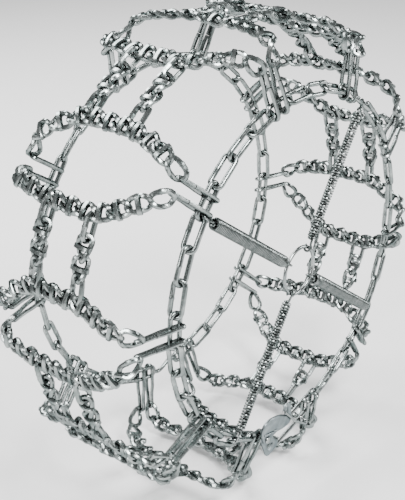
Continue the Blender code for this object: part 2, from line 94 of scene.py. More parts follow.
SIDE_RADIUS = 302 * MM
SIDE_Y = 145 * MM
TREAD_RADIUS = 400 * MM
SHOULDER_FILLET = 36 * MM
SHOULDER_Y = 136 * MM
HOOK_START_RADIUS = 316.5 * MM
INNER_SKEW = 6.0
SIDE_LINK_STEP = 9.39
LAST_LINK_ANGLE = 250.6
OUTER_LINKS = 35
INNER_LINKS = 37
FIRST_PAIR_ANGLE = 62.8
PAIR_STEP = 37.55
PAIRS_AT_FULL_STEP = 6
TREAD_LEAD = 3.0
CROSS_SPREAD = 9.4
CLOSING_SPREAD = 8.0
HOOK_HALF_GAP = 12 * MM
HOOK_LEAD = 1.2
SPREAD_START = 44 * MM
CLOSING_SHIFT = 360 - 10 * PAIR_STEP
BEFORE_FASTENER_ANGLE = 247.4
AFTER_FASTENER_ANGLE = 279.5
RUNG_Y = 43 * MM
HOOK_RUN = 50 * MM
END_LINK_NEAR = (-62 * MM, -324 * MM)
END_LINK_FAR = (75 * MM, -293.4 * MM)
END_LINK_HALF_WIDTH = 9.5 * MM
END_LINK_TILT = 28                # degrees; its outer rod stands forward
KEEPER_FRONT_Y = -167 * MM
KEEPER_TIP = (-47 * MM, KEEPER_FRONT_Y, -254 * MM)
HALF_RUN = (TREAD_RADIUS - SHOULDER_FILLET - HOOK_START_RADIUS
            + SHOULDER_FILLET * math.pi / 2 + SHOULDER_Y - SHOULDER_FILLET)
RUNG_RUN = HALF_RUN - RUNG_Y

# ---- wire and link sizes ----

SIDE_WIRE = 3.9 * MM              # radii of the wires
SIDE_LINK_HALF_WIDTH = 8.9 * MM
CROSS_WIRE = 4.1 * MM
CROSS_LINK_HALF_WIDTH = 10.3 * MM
CROSS_LINKS = 11                  # in one cross chain; all but the end two have a bar
HOOK_WIRE = 3.5 * MM
HOOK_ROD_GAP = 12.8 * MM          # between a hook's two rods, round the side link
HOOK_NARROW_GAP = 8.2 * MM        # the same, towards the cross chain
HOOK_LEAN = 12                    # degrees
HOOK_REACH = 28 * MM              # past the side chain's middle line
HOOK_OVERLAP = 5.5 * MM           # past the last cross link's bow
BAR_HALF_LENGTH = 15.0 * MM
BAR_HALF_WIDTH = 4.0 * MM
BAR_HEIGHT = 6.0 * MM
BAR_SEAT = 2.4 * MM
LINK_TWIST = 43                   # degrees, of each end of a curb link
WELD_SWELL = 1.16                 # of the wire, where a link is welded
RUNG_LINK = 30 * MM               # rough length of one link in a rung
RUNG_INSET = 5 * MM
RING_WELD_ANGLE = 200
PIN_HOLE = 3.9 * MM
PLATE_BEVEL = 0.8 * MM
CROWN_STEPS = ((0.25 * MM, 0.4 * MM), (0.35 * MM, 0.3 * MM), (0.4 * MM, 0.2 * MM),
               (0.5 * MM, 0.1 * MM))    # run in from the rim, and rise, of each step
LEVER_RIB_RADIUS = 2.3 * MM
LEVER_RIBS = (((-100 * MM, -274 * MM), (-78 * MM, -279 * MM)),
              ((-73 * MM, -280 * MM), (-66 * MM, -281.5 * MM)))
SPRING_WIRE_SHARE = 0.44          # of the coil's pitch
LOOP_SLACK = 1.2 * MM             # of a spring's loop round the ring
END_LINK_WIRE = 3.45 * MM
KEEPER_WIRE = 2.2 * MM
KEEPER_CURL = 6.2 * MM
CLOSING_WIRE = 3.8 * MM
CLOSING_SWAY = 6 * MM
LOOK_SUFFIX = "_look"             # a look is named after its material slot
FLOOR_HALF = 6.0
FLOOR_GAP = 4 * MM
SPRING_HOOK_WIRE = 1.9 * MM
SPRING_EYE = 3.6 * MM              # radius of the spring hook's eye
SPRING_PITCHES = (4.6 * MM, 4.0 * MM, 4.6 * MM, 4.0 * MM)
SPRING_START = 54 * MM            # distances of the coil's ends from the ring's centre
SPRING_END = 280 * MM
COIL_STEPS = 16                   # points in one turn of a coil


# ---- small vector helpers ----

def unit(vector):
    vector = np.asarray(vector, float)
    return vector / np.linalg.norm(vector)


def angle_of(point):
    return math.degrees(math.atan2(point[2], point[0]))


def on_wheel(radius, degrees, y):
    angle = math.radians(degrees)
    return np.array((radius * math.cos(angle), y, radius * math.sin(angle)))


class Place:
    """A centre with three axes: along, across and up."""

    def __init__(self, centre, along, up):
        self.centre = np.asarray(centre, float)
        self.along = unit(along)
        self.across = unit(np.cross(up, self.along))
        self.up = np.cross(self.along, self.across)

    def rolled(self, degrees):
        """The same centre, with the axes turned about the along axis."""
        angle = math.radians(degrees)
        up = self.up * math.cos(angle) + self.across * math.sin(angle)
        return Place(self.centre, self.along, up)

    def place(self, points):
        points = np.asarray(points, float)
        return (self.centre + points[:, :1] * self.along + points[:, 1:2] * self.across
                + points[:, 2:3] * self.up)

    def turn(self, vectors):
        return self.place(vectors) - self.centre


# ---- collecting shells into one mesh ----

class Shells:
    """Closed shells that end up in one piece."""

    def __init__(self):
        self.points = []
        self.faces = []
        self.count = 0

    def add(self, points, faces):
        self.points.append(np.asarray(points, float))
        self.faces += [tuple(index + self.count for index in face) for face in faces]
        self.count += len(points)

    def tube(self, path, reference, radii, sides=8, closed=True):
        """A wire along the path; reference is a direction per point, off the path."""
        path = np.asarray(path, float)
        count = len(path)
        radii = np.broadcast_to(np.asarray(radii, float), (count,))
        if closed:
            tangent = np.roll(path, -1, 0) - np.roll(path, 1, 0)
        else:
            tangent = np.gradient(path, axis=0)
        tangent /= np.linalg.norm(tangent, axis=1)[:, None]
        if reference is None:
            reference = carried(path, tangent)
        reference = np.broadcast_to(np.asarray(reference, float), (count, 3))
        reference = reference - tangent * (reference * tangent).sum(1)[:, None]
        reference = reference / np.linalg.norm(reference, axis=1)[:, None]
        other = np.cross(tangent, reference)
        turns = 2 * math.pi * np.arange(sides) / sides
        ring = (reference[:, None, :] * np.cos(turns)[None, :, None]
                + other[:, None, :] * np.sin(turns)[None, :, None])
        points = (path[:, None, :] + ring * radii[:, None, None]).reshape(-1, 3)
        faces = []
        for row in range(count if closed else count - 1):
            after = (row + 1) % count
            for side in range(sides):
                over = (side + 1) % sides
                faces.append((row * sides + side, row * sides + over,
                              after * sides + over, after * sides + side))
        if not closed:
            faces.append(tuple(range(sides))[::-1])
            faces.append(tuple(range((count - 1) * sides, count * sides)))
        self.add(points, faces)

    def loft(self, rows):
        """Rows of the same number of points, joined and capped at both ends."""
        size = len(rows[0])
        faces = []
        for row in range(len(rows) - 1):
            for side in range(size):
                over = (side + 1) % size
                faces.append((row * size + side, row * size + over,
                              (row + 1) * size + over, (row + 1) * size + side))
        faces.append(tuple(range(size))[::-1])
        faces.append(tuple(range((len(rows) - 1) * size, len(rows) * size)))
        self.add(np.concatenate(rows), faces)

    def piece(self, name, material, body, node):
        raw = bpy.data.meshes.new(name)
        raw.from_pydata(np.concatenate(self.points).tolist(), [], self.faces)
        work = bmesh.new()
        work.from_mesh(raw)
        bpy.data.meshes.remove(raw)
        bmesh.ops.recalc_face_normals(work, faces=work.faces)
        placed_piece(work, name, material, body, node, 38)


def placed_piece(work, name, material, body, node, sharp):
    """Turns a finished bmesh into a piece that stands for the CAD node."""
    mesh = bpy.data.meshes.new(name)
    work.to_mesh(mesh)
    work.free()
    mesh.materials.append(material)
    mesh.shade_smooth()
    mesh.set_sharp_from_angle(angle=math.radians(sharp))
    thing = bpy.data.objects.new(name, mesh)
    bpy.context.scene.collection.objects.link(thing)
    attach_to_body(thing, body)
    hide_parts(node)


def carried(path, tangent):
    """A direction carried along an open path without spinning about it."""
    direction = np.array((0.0, 0.0, 1.0))
    if abs(tangent[0] @ direction) > 0.9:
        direction = np.array((1.0, 0.0, 0.0))
    rows = []
    for along in tangent:
        direction = unit(direction - along * (direction @ along))
        rows.append(direction)
    return np.array(rows)


def smooth_path(points, steps=5):
    """A Catmull-Rom curve through the points."""
    points = [np.asarray(p, float) for p in points]
    points = [2 * points[0] - points[1]] + points + [2 * points[-1] - points[-2]]
    path = []
    for index in range(1, len(points) - 2):
        a, b, c, d = points[index - 1:index + 3]
        for step in range(steps):
            t = step / steps
            path.append(0.5 * (2 * b + (c - a) * t + (2 * a - 5 * b + 4 * c - d) * t * t
                               + (3 * b - a - 3 * c + d) * t ** 3))
    path.append(points[-2])
    return np.array(path)


# ---- links ----

def oval(half_straight, bow, bow_steps=7):
    """Middle line of a link, from the weld in the middle of one side, and its wire's swell."""
    weld = 2.2 * MM
    points = [(0.0, -bow), (weld, -bow)]
    for end in (1, -1):
        for step in range(bow_steps + 1):
            angle = -math.pi / 2 + math.pi * step / bow_steps
            points.append((end * (half_straight + bow * math.cos(angle)),
                           end * bow * math.sin(angle)))
        if end == 1:
            points.append((0.0, bow))
    points.append((-weld, -bow))
    return np.array(points), np.array([WELD_SWELL] + [1.0] * (len(points) - 1))


def plain_link(shells, place, pitch, half_width, wire, sides=8):
    half_straight = (pitch + 2 * wire) / 2 - half_width
    flat, swell = oval(half_straight, half_width)
    local = np.column_stack((flat, np.zeros(len(flat))))
    shells.tube(place.place(local), place.up, wire * swell, sides)


def twisted_link(shells, place, pitch, half_width, wire, sides=8):
    """A curb link: its two ends are turned a quarter turn apart so that it lies flat."""
    tip = (pitch + 2 * wire) / 2
    flat, swell = oval(tip - half_width, half_width)
    turn = math.radians(LINK_TWIST) * flat[:, 0] / tip
    local = np.column_stack((flat[:, 0], flat[:, 1] * np.cos(turn), flat[:, 1] * np.sin(turn)))
    up = np.column_stack((np.zeros(len(turn)), -np.sin(turn), np.cos(turn)))
    shells.tube(place.place(local), place.turn(up), wire * swell, sides)


def traction_bar(shells, place, slide=0.0, lean=0.0):
    """Short bar welded across a link, bent down a little at its ends."""
    angle = math.radians(lean)
    section = np.array(((-1.0, 0.0), (-1.0, 0.62), (-0.68, 1.0), (0.68, 1.0), (1.0, 0.62),
                        (1.0, 0.0)))
    rows = []
    for share in (-1.0, -0.92, -0.6, -0.2, 0.2, 0.6, 0.92, 1.0):
        end = 0.86 if abs(share) == 1.0 else 1.0
        run = share * BAR_HALF_LENGTH + slide
        drop = 3.2 * MM * share * share
        x = section[:, 0] * BAR_HALF_WIDTH * end
        y = np.full(len(section), run)
        z = BAR_SEAT + section[:, 1] * BAR_HEIGHT * end - drop
        rows.append(place.place(np.column_stack((x * math.cos(angle) - y * math.sin(angle),
                                                 x * math.sin(angle) + y * math.cos(angle),
                                                 z))))
    shells.loft(rows)


# ---- side chains ----

def side_link_place(angle, y):
    radius = SIDE_RADIUS * math.cos(math.radians(SIDE_LINK_STEP / 2))
    outward = (0.0, math.copysign(1.0, y), 0.0)
    return Place(on_wheel(radius, angle, y), on_wheel(1.0, angle + 90, 0.0), outward)


def make_side_chain(name, last_angle, links, y, material):
    """Plain long links, lying flat and on edge in turn."""
    shells = Shells()
    pitch = 2 * SIDE_RADIUS * math.sin(math.radians(SIDE_LINK_STEP / 2))
    first_angle = last_angle - (links - 1) * SIDE_LINK_STEP
    for number in range(links):
        angle = first_angle + number * SIDE_LINK_STEP
        flat = number % 2 == (links - 1) % 2
        roll = -8.0 if flat else -62.0
        roll += SCATTER.uniform(-5, 5)
        place = side_link_place(angle, y).rolled(roll if y < 0 else -roll)
        plain_link(shells, place, pitch, SIDE_LINK_HALF_WIDTH, SIDE_WIRE, 10)
    shells.piece(name + "_links", material, "net", name)


# ---- cross chains and rungs ----

def profile_point(run):
    """Radius, y and outward direction at a distance from the outer hooks over the tyre."""
    rise = TREAD_RADIUS - SHOULDER_FILLET - HOOK_START_RADIUS
    arc = SHOULDER_FILLET * math.pi / 2
    flat = SHOULDER_Y - SHOULDER_FILLET
    if run < rise:
        y = -SHOULDER_Y - (SIDE_Y - SHOULDER_Y) * (1.0 - run / rise)
        return HOOK_START_RADIUS + run, y, 0.0, -1.0
    if run < rise + arc:
        turn = (run - rise) / SHOULDER_FILLET
        radius = TREAD_RADIUS - SHOULDER_FILLET + SHOULDER_FILLET * math.sin(turn)
        return (radius, -flat - SHOULDER_FILLET * math.cos(turn), math.sin(turn),
                -math.cos(turn))
    return TREAD_RADIUS, -flat + (run - rise - arc), 1.0, 0.0


def ease_in(value):
    """How far two paired chains have spread: fast near the hooks, then slower."""
    value = min(1.0, max(0.0, value))
    return value * (1.25 - 0.25 * value * value)


class CrossPath:
    """The run of one cross chain from the outer side chain to the inner one."""

    def __init__(self, attach_out, tread, attach_in, side, spread):
        self.attach = (attach_out, attach_in)
        self.tread = tread
        self.side = side
        self.spread = spread

    def point(self, run):
        far = run > HALF_RUN
        own_run = 2 * HALF_RUN - run if far else run
        radius, y, out_radial, out_y = profile_point(own_run)
        hooks = self.attach[1 if far else 0] + HOOK_LEAD
        share = ease_in((own_run - SPREAD_START) / (RUNG_RUN - SPREAD_START))
        hook_spread = math.degrees(HOOK_HALF_GAP / radius)
        angle = hooks + (self.tread - hooks) * share
        angle += self.side * (hook_spread + (self.spread - hook_spread) * share)
        if far:
            y = -y
            out_y = -out_y
        return on_wheel(radius, angle, y), on_wheel(out_radial, angle, out_y)

    def place(self, run):
        centre, up = self.point(run)
        ahead = self.point(run + 6 * MM)[0]
        behind = self.point(run - 6 * MM)[0]
        return Place(centre, ahead - behind, up)


def side_hook(shells, path, far):
    """Open wire hook round a side link, with its cut end on the outer rod."""
    foot, _ = path.point(2 * HALF_RUN if far else 0.0)
    shoulder, _ = path.point(2 * HALF_RUN - SPREAD_START if far else SPREAD_START)
    face = math.copysign(1.0, foot[1])
    along = unit(foot - shoulder)
    outer = foot - along * (HOOK_RUN + HOOK_OVERLAP)
    inner = foot + along * HOOK_REACH
    up = unit(np.array((0.0, face, 0.0)) - along * along[1] * face)
    lean = math.radians(HOOK_LEAN)
    up = up * math.cos(lean) - unit(on_wheel(1.0, angle_of(foot) + 90, 0.0)) * math.sin(lean)
    length = np.linalg.norm(inner - outer)
    narrow = HOOK_NARROW_GAP / 2
    wide = HOOK_ROD_GAP / 2
    cut = 0.36 * length
    points = [(cut, narrow * 1.1), (cut * 0.5, narrow)]
    for step in range(9):
        turn = math.pi * step / 8
        points.append((narrow - narrow * math.sin(turn), narrow * math.cos(turn)))
    points += [(cut * 0.6, -narrow), (cut, -narrow * 1.1), (length * 0.52, -wide),
               (length * 0.7, -wide)]
    for step in range(9):
        turn = math.pi * step / 8
        points.append((length - wide + wide * math.sin(turn), -wide * math.cos(turn)))
    points += [(length * 0.7, wide), (length * 0.52, wide), (cut + 1.5 * MM, narrow * 1.25)]
    path_points = np.array([outer + along * x + up * z for x, z in points])
    shells.tube(path_points, np.cross(along, up), HOOK_WIRE, 8, closed=False)


def make_cross_chain(name, row, side, spread, material):
    """Curb links over the tread, all but the end two with a bar, and a hook at each end."""
    shells = Shells()
    path = CrossPath(row[0], row[1], row[2], side, spread)
    pitch = 2 * (HALF_RUN - HOOK_RUN) / CROSS_LINKS
    for number in range(CROSS_LINKS):
        place = path.place(HOOK_RUN + pitch * (number + 0.5)).rolled(SCATTER.uniform(-16, 16))
        twisted_link(shells, place, pitch, CROSS_LINK_HALF_WIDTH, CROSS_WIRE)
        if 0 < number < CROSS_LINKS - 1:
            traction_bar(shells, place, SCATTER.uniform(-1.2, 1.2) * MM,
                         SCATTER.uniform(-7, 7))
    for far in (False, True):
        side_hook(shells, path, far)
    shells.piece(name + "_links", material, "net", name)


def make_rung(name, start_angle, end_angle, y, material):
    """Links round the tread: a plain one at each end, and barred ones between."""
    shells = Shells()
    inset = math.degrees(RUNG_INSET / TREAD_RADIUS)
    first = start_angle + inset
    last = end_angle - inset
    span = math.radians(last - first) * TREAD_RADIUS
    links = max(2, round(span / RUNG_LINK))
    step = (last - first) / links
    pitch = span / links
    for number in range(links):
        angle = first + step * (number + 0.5)
        place = Place(on_wheel(TREAD_RADIUS, angle, y), on_wheel(1.0, angle + 90, 0.0),
                      on_wheel(1.0, angle, 0.0))
        if number == 0:
            plain_link(shells, place.rolled(SCATTER.uniform(60, 95)), pitch + 3 * MM,
                       CROSS_LINK_HALF_WIDTH - 1 * MM, CROSS_WIRE)
        elif number == links - 1:
            plain_link(shells, place.rolled(SCATTER.uniform(-14, 4)), pitch + 6 * MM,
                       CROSS_LINK_HALF_WIDTH + 1.5 * MM, CROSS_WIRE)
        else:
            place = place.rolled(SCATTER.uniform(-8, 8))
            twisted_link(shells, place, pitch, CROSS_LINK_HALF_WIDTH, CROSS_WIRE)
            traction_bar(shells, place, SCATTER.uniform(-2, 2) * MM, SCATTER.uniform(-6, 6))
    shells.piece(name + "_links", material, "net", name)


def pair_rows():
    """Outer, tread and inner angles of each pair, and its chains' spread before and after."""
    rows = []
    for number in range(10):
        attach = FIRST_PAIR_ANGLE + number * PAIR_STEP
        if number >= PAIRS_AT_FULL_STEP:
            attach += CLOSING_SHIFT
        attach_out = attach
        tread = attach + TREAD_LEAD
        if number == PAIRS_AT_FULL_STEP - 1:
            attach_out = BEFORE_FASTENER_ANGLE
        if number == PAIRS_AT_FULL_STEP:
            attach_out = AFTER_FASTENER_ANGLE
            tread = AFTER_FASTENER_ANGLE
        before = CLOSING_SPREAD if number == PAIRS_AT_FULL_STEP else CROSS_SPREAD
        after = CLOSING_SPREAD if number == PAIRS_AT_FULL_STEP - 1 else CROSS_SPREAD
        rows.append((attach_out, tread, attach + INNER_SKEW, before, after))
    return rows


def make_net(material):
    rows = pair_rows()
    number = 1
    for row in rows:
        for side, spread in ((-1, row[3]), (1, row[4])):
            make_cross_chain(f"cross_chain_{number:02d}", row, side, spread, material)
            number += 1
    number = 1
    for index, row in enumerate(rows):
        after_row = rows[(index + 1) % len(rows)]
        start = row[1] + row[4]
        end = after_row[1] - after_row[3] + (360 if index == len(rows) - 1 else 0)
        for y in (-RUNG_Y, RUNG_Y):
            make_rung(f"tread_rung_{number:02d}", start, end, y, material)
            number += 1


# ---- spring tensioner ----

def make_ring(material):
    """A round wire ring with the low bulge of its weld."""
    shells = Shells()
    steps = 72
    path = []
    swell = []
    for step in range(steps):
        angle = 360 * step / steps
        path.append(on_wheel(RING_RADIUS, angle, SPRING_FACE_Y))
        swell.append(1.0 + 0.10 * math.exp(-((angle - RING_WELD_ANGLE) / 4.0) ** 2))
    shells.tube(path, (0.0, 1.0, 0.0), RING_WIRE * np.array(swell), 14)
    shells.piece("tensioner_ring_wire", material, "ring", "tensioner_ring")


def spring_path(coil_radius, pitch):
    """Middle line of a tension spring: distance out from the ring's centre, front and side."""
    loop = RING_WIRE + pitch * SPRING_WIRE_SHARE + LOOP_SLACK
    points = []
    middle = RING_RADIUS - LOOP_SLACK / 2
    for step in range(17):
        turn = math.radians(-40 - 285 * step / 16)
        points.append((middle + loop * math.cos(turn), loop * math.sin(turn), 0.0))
    turns = round((SPRING_END - SPRING_START) / pitch)
    total = turns * COIL_STEPS
    for step in range(total + 1):
        turn = 2 * math.pi * step / COIL_STEPS
        rise = min(step, total - step) / COIL_STEPS
        radius = coil_radius * min(1.0, 0.4 + 0.6 * rise)
        points.append((SPRING_START + (SPRING_END - SPRING_START) * step / total,
                       radius * math.cos(turn), radius * math.sin(turn)))
    end_loop = coil_radius * 0.55
    for step in range(13):
        turn = math.radians(180 - 300 * step / 12)
        points.append((SPRING_END + 1.5 * MM + end_loop + end_loop * math.cos(turn),
                       end_loop * math.sin(turn), 0.0))
    return np.array(points)


def make_spring(number, angle, pitch, material, bright):
    """A tension spring from the ring, and the wire hook on its outer end."""
    out = on_wheel(1.0, angle, 0.0)
    front = np.array((0.0, -1.0, 0.0))
    side = np.cross(out, front)
    centre = np.array((0.0, SPRING_FACE_Y, 0.0))

    def placed(points):
        points = np.asarray(points)
        return centre + points[:, :1] * out + points[:, 1:2] * front + points[:, 2:3] * side

    low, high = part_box(f"tension_spring_{number}")
    wire = pitch * SPRING_WIRE_SHARE
    coil_radius = (high[1] - low[1]) / 2 - wire
    shells = Shells()
    shells.tube(placed(spring_path(coil_radius, pitch)), None, wire, 7, closed=False)
    shells.piece(f"tension_spring_{number}_coil", material, f"spring_{number}",
                 f"tension_spring_{number}")

    start = SPRING_END + 3 * MM + coil_radius * 0.8
    pivot = np.linalg.norm(np.array(SPRING_PIVOTS[number - 1])[[0, 2]])
    reach = pivot + 5 * MM - start
    points = []
    for step in range(9):
        turn = math.radians(150 - 200 * step / 8)
        points.append((start + SPRING_EYE * math.cos(turn), 0.6 * MM,
                       SPRING_EYE * math.sin(turn)))
    points.append((start + reach * 0.4, 0.6 * MM, -1.2 * MM))
    for step in range(7):
        turn = math.radians(80 - 190 * step / 6)
        points.append((start + reach + 3.0 * MM * math.cos(turn) - 1.0 * MM,
                       -2.6 * MM + 3.4 * MM * math.sin(turn), 0.0))
    hook = Shells()
    hook.tube(smooth_path(placed(points), 3), None, SPRING_HOOK_WIRE, 8, closed=False)
    hook.piece(f"spring_hook_{number}_wire", bright, f"spring_{number}",
               f"spring_hook_{number}")


# ---- lever fastener ----

def arc_points(centre, radius, start, end, steps):
    """Points of an arc in x and z, between two angles in degrees."""
    points = []
    for step in range(steps + 1):
        angle = math.radians(start + (end - start) * step / steps)
        points.append((centre[0] + radius * math.cos(angle),
                       centre[1] + radius * math.sin(angle)))
    return points


def cast_plate(outline, holes, back, front):
    """A plate with rounded edges and a crowned front, cut out by loops of x, z points."""
    work = bmesh.new()
    edges = []
    for loop in [outline] + holes:
        verts = [work.verts.new((x, back, z)) for x, z in loop]
        for index in range(len(verts)):
            edges.append(work.edges.new((verts[index - 1], verts[index])))
    bmesh.ops.triangle_fill(work, edges=edges, use_beauty=True, use_dissolve=False)
    bmesh.ops.dissolve_limit(work, angle_limit=0.01, verts=work.verts, edges=work.edges)
    pushed = bmesh.ops.extrude_face_region(work, geom=list(work.faces))
    moved = [item for item in pushed["geom"] if isinstance(item, bmesh.types.BMVert)]
    crown = sum(rise for _, rise in CROWN_STEPS)
    bmesh.ops.translate(work, verts=moved, vec=(0.0, front + crown - back, 0.0))
    bmesh.ops.recalc_face_normals(work, faces=work.faces)
    rim = [edge for edge in work.edges
           if len(edge.link_faces) == 2 and edge.calc_face_angle(0.0) > 0.9]
    bmesh.ops.bevel(work, geom=rim, offset=PLATE_BEVEL, segments=3, profile=0.5,
                    affect='EDGES')
    work.faces.ensure_lookup_table()
    panel = [face for face in work.faces if face.normal.y < -0.999]
    for run, rise in CROWN_STEPS:
        bmesh.ops.inset_region(work, faces=panel, thickness=run, depth=rise)
    bmesh.ops.triangulate(work, faces=panel)
    return work


def add_rib(work, start, end, y, radius):
    """A raised round-ended rib on a plate, between two x, z points."""
    start = np.array((start[0], y, start[1]))
    end = np.array((end[0], y, end[1]))
    along = unit(end - start)
    across = np.cross(along, (0.0, 1.0, 0.0))
    rings = []
    for run, share in ((-0.9, 0.35), (-0.6, 0.8), (0.0, 1.0), (1.0, 1.0), (1.6, 0.8), (1.9, 0.35)):
        centre = start if run <= 0 else end
        centre = centre + along * radius * (run if run <= 0 else run - 1.0)
        ring = []
        for step in range(10):
            turn = 2 * math.pi * step / 10
            offset = across * math.cos(turn) + np.array((0.0, math.sin(turn), 0.0))
            ring.append(work.verts.new(centre + offset * radius * share))
        rings.append(ring)
    for first, second in zip(rings, rings[1:]):
        for side in range(10):
            work.faces.new((first[side], first[side - 1], second[side - 1], second[side]))
    work.faces.new(rings[0])
    work.faces.new(rings[-1])


def hook_plate_outline(pivot):
    """Round the pin at the top, then down to two rounded corners."""
    outline = arc_points(pivot, 10 * MM, 20, 200, 18)
    outline += arc_points((-80 * MM, -321 * MM), 9.5 * MM, 195, 285, 10)
    return outline + arc_points((-63 * MM, -316 * MM), 9.5 * MM, 290, 380, 10)


def lever_outline(pivot):
    """Broad leaf from the pin to the neck, then a curl that a finger lifts."""
    outline = arc_points(pivot, 9.5 * MM, 185, 320, 14)
    lower = [(-74 * MM, -287.6 * MM), (-66 * MM, -286 * MM), (-54 * MM, -289 * MM),
             (-42 * MM, -290.5 * MM), (-33 * MM, -290.3 * MM), (-27 * MM, -288.5 * MM),
             (-23.6 * MM, -284.5 * MM), (-22.5 * MM, -280 * MM), (-22 * MM, -268 * MM)]
    upper = [(-36 * MM, -251.5 * MM), (-34.2 * MM, -250.9 * MM), (-32.5 * MM, -253 * MM),
             (-32 * MM, -258.5 * MM), (-34.2 * MM, -263.8 * MM), (-37.5 * MM, -266.5 * MM),
             (-42 * MM, -264.4 * MM), (-48 * MM, -260.5 * MM), (-57 * MM, -256.2 * MM),
             (-67 * MM, -253 * MM), (-78 * MM, -250.3 * MM), (-88 * MM, -249.5 * MM),
             (-95.5 * MM, -250.6 * MM), (-101 * MM, -254 * MM), (-104.8 * MM, -258.6 * MM),
             (-106.5 * MM, -264 * MM), (-107 * MM, -270 * MM), (-106 * MM, -276 * MM)]
    outline += lower
    outline += arc_points((-33.5 * MM, -255.5 * MM), 10.5 * MM, -15, 175, 18)
    outline += arc_points((-41.0 * MM, -254.6 * MM), 3.0 * MM, 175, 330, 7)
    return outline + upper


def make_fastener(galvanised, bright):
    pivot = (LEVER_PIVOT[0], LEVER_PIVOT[2])
    plate_low, plate_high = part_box("fastener_hook_plate")
    lever_low, lever_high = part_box("fastener_lever")
    pin_hole = arc_points(pivot, PIN_HOLE, 0, 345, 23)
    slot = (arc_points((-85.6 * MM, -305.5 * MM), 1.5 * MM, 60, 180, 4)
            + arc_points((-80.6 * MM, -317.6 * MM), 1.5 * MM, 180, 300, 4)
            + arc_points((-70.4 * MM, -309.6 * MM), 1.5 * MM, 300, 420, 4))
    work = cast_plate(hook_plate_outline(pivot), [pin_hole, slot], plate_high[1],
                      plate_low[1])
    placed_piece(work, "fastener_hook_plate_cast", galvanised, "net", "fastener_hook_plate", 40)
    work = cast_plate(lever_outline(pivot), [pin_hole], lever_high[1], lever_low[1])
    for start, end in LEVER_RIBS:
        add_rib(work, start, end, lever_low[1], LEVER_RIB_RADIUS)
    placed_piece(work, "fastener_lever_cast", galvanised, "lever", "fastener_lever", 40)
    make_pin(bright)
    make_end_link(bright)
    make_keeper(bright)


def make_pin(material):
    """A headed pin, riveted over at its front end."""
    low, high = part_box("fastener_pivot_pin")
    steps = 28
    profile = ((high[1], 0.0), (high[1], 5.2), (high[1] - 0.8 * MM, 6.4),
               (high[1] - 2.6 * MM, 6.5), (high[1] - 2.9 * MM, 6.2), (high[1] - 2.9 * MM, 3.5),
               (low[1] + 2.6 * MM, 3.5), (low[1] + 2.6 * MM, 6.3), (low[1] + 2.2 * MM, 6.5),
               (low[1] + 1.0 * MM, 5.9), (low[1] + 0.2 * MM, 3.6), (low[1], 0.0))
    work = bmesh.new()
    rings = []
    for y, radius in profile[1:-1]:
        ring = []
        for step in range(steps):
            angle = 2 * math.pi * step / steps
            ring.append(work.verts.new((LEVER_PIVOT[0] + radius * MM * math.cos(angle), y,
                                        LEVER_PIVOT[2] + radius * MM * math.sin(angle))))
        rings.append(ring)
    for first, second in zip(rings, rings[1:]):
        for side in range(steps):
            work.faces.new((first[side], first[side - 1], second[side - 1], second[side]))
    work.faces.new(rings[0])
    work.faces.new(rings[-1])
    bmesh.ops.recalc_face_normals(work, faces=work.faces)
    placed_piece(work, "fastener_pivot_pin_turned", material, "net", "fastener_pivot_pin", 35)


def make_end_link(material):
    """Long two-rod link from behind the hook plate to the side chain."""
    near = np.array((END_LINK_NEAR[0], -SIDE_Y, END_LINK_NEAR[1]))
    far = np.array((END_LINK_FAR[0], -SIDE_Y, END_LINK_FAR[1]))
    along = unit(far - near)
    tilt = math.radians(END_LINK_TILT)
    across = np.array((-along[2] * math.cos(tilt), math.sin(tilt), along[0] * math.cos(tilt)))
    half_width = END_LINK_HALF_WIDTH
    path = []
    for centre, start in ((far, -90), (near, 90)):
        for step in range(11):
            angle = math.radians(start + 18 * step)
            path.append(centre + (along * math.cos(angle) + across * math.sin(angle))
                        * half_width)
        if start == -90:
            for share in (0.25, 0.5, 0.75):
                path.append(far + across * half_width + (near - far) * share)
    shells = Shells()
    shells.tube(path, np.cross(along, across), END_LINK_WIRE, 12)
    shells.piece("long_end_link_wire", material, "net", "long_end_link")


def make_keeper(material):
    """Wire latch: a curl round the end link's outer rod and a bar over the lever."""
    place = np.array(KEEPER_PLACE)
    along = unit(KEEPER_ALONG)
    outward = np.array((0.0, -1.0, 0.0))
    down = np.cross(outward, along)
    points = []
    for step in range(12):
        angle = math.radians(-150 + 210 * step / 11)
        points.append(place + (outward * math.cos(angle) + down * math.sin(angle)) * KEEPER_CURL)
    bend = place + outward * (place[1] - KEEPER_FRONT_Y) + down * KEEPER_CURL
    tip = np.array(KEEPER_TIP)
    elbow = np.array((-12 * MM, KEEPER_FRONT_Y, -293 * MM))
    points += [bend - outward * 6 * MM, bend - outward * 1.2 * MM - down * 2 * MM - along * 1 * MM,
               bend - down * 6 * MM - along * 4 * MM, elbow, (elbow + tip) / 2, tip]
    shells = Shells()
    shells.tube(smooth_path(points, 4), None, KEEPER_WIRE, 10, closed=False)
    shells.piece("lever_keeper_wire", material, "keeper", "lever_keeper")


def make_closing_hook(material):
    """Bent rod that closes the inner side chain."""
    low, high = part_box("inner_closing_hook")
    gap = SIDE_LINK_STEP / 2
    first = LAST_LINK_ANGLE + INNER_SKEW + gap
    last = LAST_LINK_ANGLE + INNER_SKEW + PAIR_STEP + CLOSING_SHIFT - gap
    points = []
    for step in range(12):
        share = step / 11
        angle = first + (last - first) * share
        sway = CLOSING_SWAY * math.sin(2 * math.pi * share)
        points.append(on_wheel(SIDE_RADIUS + sway, angle, (low[1] + high[1]) / 2))
    shells = Shells()
    shells.tube(smooth_path(points, 3), None, CLOSING_WIRE, 10, closed=False)
    shells.piece("inner_closing_hook_wire", material, "net", "inner_closing_hook")


# ---- materials ----

EDGE_SHADE_TINT = (0.30, 0.33, 0.33)    # painted dark reflection: the zinc's edges, seen edge on, are tinted darker
# how far the painted shade in the gaps between links reaches
SHADE_REACH = 9 * MM


